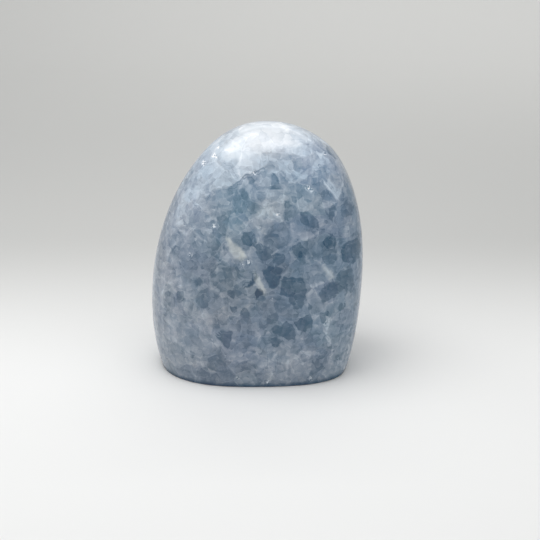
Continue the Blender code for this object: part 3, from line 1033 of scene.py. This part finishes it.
def weighted(tree, parts, base, terms):
    """A base value plus each named part about its own middle: (name, middle, weight)"""
    total = base
    for name, middle, weight in terms:
        shifted = add(tree, "ShaderNodeMath", {0: parts[name], 1: middle}, operation="SUBTRACT")[0]
        total = add(tree, "ShaderNodeMath", {0: shifted, 1: weight, 2: total}, operation="MULTIPLY_ADD")[0]
    return total


def drawn_grains(tree, parts):
    """How far each place lies in a drawn grain, from 0 to 1, with ragged edges and a patchy inside"""
    torn = weighted(tree, parts, parts["grain_edge"], TORN_GRAIN)
    inside = add(tree, "ShaderNodeMapRange", {0: torn, **INSIDE_DRAWN_GRAIN}, **SOFT)[0]
    whole = add(tree, "ShaderNodeMapRange", {0: parts["patches"], **WHOLE_PATCHES}, **SOFT)[0]
    return add(tree, "ShaderNodeMath", {0: inside, 1: whole}, operation="MULTIPLY")[0]


def drawn_veins(tree, parts):
    """How far each place lies in a drawn vein, from 0 to 1, with ragged edges"""
    torn = weighted(tree, parts, parts["vein_offset"], TORN_VEIN)
    aside = add(tree, "ShaderNodeMath", {0: torn}, operation="ABSOLUTE")[0]
    return add(tree, "ShaderNodeMapRange", {0: aside, **INSIDE_DRAWN_VEIN}, **SOFT)[0]


def drawn_level(tree, parts):
    """The level of milkiness as drawn on the front, and the share left to the procedural grains"""
    in_grain = drawn_grains(tree, parts)
    in_vein = drawn_veins(tree, parts)
    covered = add(tree, "ShaderNodeMath", {0: in_grain, 1: in_vein}, operation="MAXIMUM")[0]
    inputs = {"Value": covered, "To Min": FRONT_SHARE, "To Max": GRAIN_SHARE}
    drawn = add(tree, "ShaderNodeMapRange", inputs)["Result"]
    on_front = add(tree, "ShaderNodeMath", {0: drawn, 1: parts["front"]}, operation="MULTIPLY")[0]
    left = add(tree, "ShaderNodeMath", {0: 1.0, 1: on_front}, operation="SUBTRACT")[0]
    level = parts["ground"]
    for share, value in ((in_grain, parts["grain"]), (in_vein, parts["vein"])):
        seen = add(tree, "ShaderNodeMath", {0: share, 1: parts["front"]}, operation="MULTIPLY")[0]
        level = add(tree, "ShaderNodeMix", {0: seen, 2: level, 3: value})[0]
    return level, left


def stone_level(tree, parts):
    """The level of milkiness all over the stone: white places are the calmest, pits show flecks of painted
    glint
    """
    drawn, left = drawn_level(tree, parts)
    calm = add(tree, "ShaderNodeMapRange", {0: drawn, **CALM_WHITE}, **SOFT)[0]
    glint_flecks = add(tree, "ShaderNodeMapRange", {0: parts["glint_flecks"], **PAINTED_PIT_GLINTS}, **SOFT)[0]
    level = drawn
    for value, share in (
        (weighted(tree, parts, 0.0, DETAIL_PARTS), calm),
        (weighted(tree, parts, 0.0, GRAIN_PARTS), left),
        (parts["cream"], CREAM_LIFT),
        # Painted glints in the pits
        (parts["pits"], glint_flecks),
    ):
        level = add(tree, "ShaderNodeMath", {0: value, 1: share, 2: level}, operation="MULTIPLY_ADD")[0]
    return level


def level_colour(tree, level, colours):
    """The colour that goes with a level of milkiness"""
    lowest, highest = LADDER[0][0], LADDER[-1][0]
    inputs = {"Value": level, "From Min": lowest, "From Max": highest}
    share = add(tree, "ShaderNodeMapRange", inputs)["Result"]
    colour = add(tree, "ShaderNodeValToRGB", {"Fac": share})["Color"]
    steps = colour.node.color_ramp.elements
    while len(steps) < len(LADDER):
        steps.new(0.5)
    for step, (height, name) in zip(steps, LADDER):
        step.position = (height - lowest) / (highest - lowest)
        step.color = getattr(colours, name)
    return colour


def stone_colour(tree, parts, colours):
    """The stone's colour: each grain more or less blue, the dark ones least, or more violet or green"""
    level = stone_level(tree, parts)
    blue = weighted(tree, parts, 0.0, BLUE_PARTS)
    lively = add(tree, "ShaderNodeMapRange", {0: level, **DULL_DARK}, **SOFT)[0]
    strength = add(tree, "ShaderNodeMath", {0: blue, 1: lively, 2: 1.0}, operation="MULTIPLY_ADD")[0]
    lean = weighted(tree, parts, 0.5, HUE_PARTS)
    inputs = {"Hue": lean, "Saturation": strength, "Color": level_colour(tree, level, colours)}
    tinted = add(tree, "ShaderNodeHueSaturation", inputs)[0]
    inputs = {0: parts["cream"], 6: tinted, 7: colours.cream}
    return add(tree, "ShaderNodeMix", inputs, data_type="RGBA")[2]


def calcite_material(colours):
    """Blue calcite, sawn, ground and polished to a wet gloss.

    It shows cleavage grains 3 to 9 mm across, clear and dark or cloudy and pale, each with straight edges
    and fine cleavage lines, between soft lilac veins. The gloss is high but uneven, because the grains
    polish at slightly different heights."""
    material, tree, shader = new_material("polished_blue_calcite")
    parts = add_parts(tree)
    relief = weighted(tree, parts, 0.0, RELIEF_PARTS)
    inputs = {"Height": relief, "Strength": RELIEF_STRENGTH, "Distance": MM}
    feed(tree, shader, {
        "Base Color": stone_colour(tree, parts, colours),
        "IOR": STONE_IOR,
        "Roughness": STONE_ROUGHNESS,
        "Normal": add(tree, "ShaderNodeBump", inputs)["Normal"],
    })
    return material


class MESH_OT_calcite_stone(bpy.types.Operator):
    """Model the polished stone, from the cut ball to its last pit, and give it its finish"""

    bl_idname = "mesh.calcite_stone"
    bl_label = "Polished stone"

    def execute(self, context):
        sizes = context.scene.calcite_sizes
        stone = add_ball(sizes)
        cut_base(stone, sizes)
        refine(stone)
        set_points(stone, to_stone(get_points(stone), sizes))
        cut_relief(stone, context.scene.calcite_stage)
        draw_front(stone, context.scene.calcite_stage)
        bpy.ops.object.shade_smooth_by_angle(angle=SMOOTH_ANGLE)
        stone.data.materials.clear()
        stone.data.materials.append(calcite_material(context.scene.calcite_colours))
        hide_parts(STONE_NODE)
        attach(stone, "root")
        return {"FINISHED"}


# The stage

# The sweep, in metres: half its width, how far behind the stone it turns up, how high, and how roundly
FLOOR_REACH = 1.6
WALL_DISTANCE = 1.0
WALL_HEIGHT = 1.2
SWEEP_RADIUS = 0.35
SWEEP_STEPS = 24
# From where to where the paper is painted greyer, as painted shade of the light that falls off behind the
# stone, in metres behind the stone's middle
PAPER_SHADE_FADE = {1: -0.02, 2: 0.17}
PAPER_ROUGHNESS = 0.95
PAPER_SHEEN = 0.1
SURROUND_STRENGTH = 0.74
# Soft lights: name, place, the point that it faces and the lengths of its sides in metres, power in watts
SOFT_LIGHTS = (
    ("overhead_softbox", (-0.03, -0.08, 0.38), (-0.02, -0.04, 0.0), (0.90, 0.30), 0.80),
    ("wall_softbox", (0.22, 0.62, 0.80), (0.22, 1.00, 0.30), (1.20, 0.25), 5.2),
    ("crown_softbox", (-0.11, -0.06, 0.42), (0.0, -0.01, 0.09), (0.30, 0.22), 0.62),
)


def paper_material(stage):
    """Matt background paper, palest under the stone and a little greyer behind it, where the grey is painted
    shade of the light falling off; with no gloss
    """
    material, tree, shader = new_material("matt_background_paper")
    metres = add(tree, "ShaderNodeTexCoord", {})["Object"]
    depth = add(tree, "ShaderNodeSeparateXYZ", {0: metres})["Y"]
    share = add(tree, "ShaderNodeMapRange", {0: depth, **PAPER_SHADE_FADE}, **SOFT)[0]
    inputs = {0: share, 6: stage.paper, 7: stage.paper_far_shade}
    feed(tree, shader, {
        "Base Color": add(tree, "ShaderNodeMix", inputs, data_type="RGBA")[2],
        "Roughness": PAPER_ROUGHNESS,
        "Specular IOR Level": PAPER_SHEEN,
    })
    return material


def add_sweep(stage):
    """A sheet of paper that runs from in front of the stone up the wall behind it"""
    bpy.ops.object.select_all(action="DESELECT")
    bpy.ops.mesh.primitive_plane_add(size=2 * FLOOR_REACH, location=(0, WALL_DISTANCE - FLOOR_REACH, 0))
    sweep = bpy.context.object
    sweep.name = "paper_sweep"
    bpy.ops.object.transform_apply(location=True, rotation=True, scale=True)
    bpy.ops.object.mode_set(mode="EDIT")
    select_parts(sweep, "edges", lambda edge: all(vert.co.y > WALL_DISTANCE - MM for vert in edge.verts))
    bpy.ops.mesh.extrude_region_move(TRANSFORM_OT_translate={"value": (0, 0, WALL_HEIGHT)})
    select_parts(
        sweep, "edges",
        lambda edge: all(vert.co.y > WALL_DISTANCE - MM and vert.co.z < MM for vert in edge.verts),
    )
    bpy.ops.mesh.bevel(offset=SWEEP_RADIUS, segments=SWEEP_STEPS, profile=ROUND, affect="EDGES")
    bpy.ops.object.mode_set(mode="OBJECT")
    bpy.ops.object.shade_smooth()
    sweep.data.materials.append(paper_material(stage))


def add_soft_light(name, place, aim, size, power):
    """A rectangular soft light that faces a point"""
    light = bpy.data.lights.new(name, "AREA")
    light.shape = "RECTANGLE"
    light.size, light.size_y = size
    light.energy = power
    lamp = bpy.data.objects.new(name, light)
    lamp.location = place
    lamp.rotation_euler = (Vector(aim) - Vector(place)).to_track_quat("-Z", "Y").to_euler()
    bpy.context.collection.objects.link(lamp)


def add_surround(stage):
    """Even light from pale surroundings"""
    world = bpy.data.worlds.new("pale_surround")
    world.use_nodes = True
    backdrop = world.node_tree.nodes["Background"]
    backdrop.inputs["Color"].default_value = stage.surround
    backdrop.inputs["Strength"].default_value = SURROUND_STRENGTH
    bpy.context.scene.world = world


def add_camera(stage):
    """The camera, level with a standing viewer's glance down at a shelf"""
    data = bpy.data.cameras.new("camera")
    data.lens = stage.lens
    data.sensor_width = SENSOR_WIDTH
    camera = bpy.data.objects.new("camera", data)
    back = Vector(camera_axes(stage)[0])
    camera.location = AIM + back * stage.distance
    camera.rotation_euler = (-back).to_track_quat("-Z", "Y").to_euler()
    bpy.context.collection.objects.link(camera)
    bpy.context.scene.camera = camera


class SCENE_OT_calcite_stage(bpy.types.Operator):
    """Set up the paper sweep, the soft lights and the camera"""

    bl_idname = "scene.calcite_stage"
    bl_label = "Studio stage"

    def execute(self, context):
        stage = context.scene.calcite_stage
        context.scene.view_settings.view_transform = "Standard"
        add_sweep(stage)
        add_surround(stage)
        for row in SOFT_LIGHTS:
            add_soft_light(*row)
        add_camera(stage)
        return {"FINISHED"}


class VIEW3D_PT_calcite(bpy.types.Panel):
    """The steps in their order, with the sizes and colours that they use"""

    bl_label = "Calcite freeform"
    bl_space_type = "VIEW_3D"
    bl_region_type = "UI"
    bl_category = "Calcite"

    def draw(self, context):
        scene = context.scene
        for group in (scene.calcite_sizes, scene.calcite_colours, scene.calcite_stage):
            box = self.layout.box()
            for name in group.bl_rna.properties.keys():
                if name not in {"rna_type", "name"}:
                    box.prop(group, name)
        for step in STEPS:
            self.layout.operator(step.bl_idname)


STEPS = (MESH_OT_calcite_stone, SCENE_OT_calcite_stage)
CLASSES = (CalciteSizes, CalciteColours, CalciteStage) + STEPS + (VIEW3D_PT_calcite,)


def register():
    for one in CLASSES:
        bpy.utils.register_class(one)
    bpy.types.Scene.calcite_sizes = bpy.props.PointerProperty(type=CalciteSizes)
    bpy.types.Scene.calcite_colours = bpy.props.PointerProperty(type=CalciteColours)
    bpy.types.Scene.calcite_stage = bpy.props.PointerProperty(type=CalciteStage)


def unregister():
    del bpy.types.Scene.calcite_sizes
    del bpy.types.Scene.calcite_colours
    del bpy.types.Scene.calcite_stage
    for one in reversed(CLASSES):
        bpy.utils.unregister_class(one)


def main():
    register()
    bpy.ops.mesh.calcite_stone()
    bpy.ops.scene.calcite_stage()


if __name__ == "__main__":
    main()
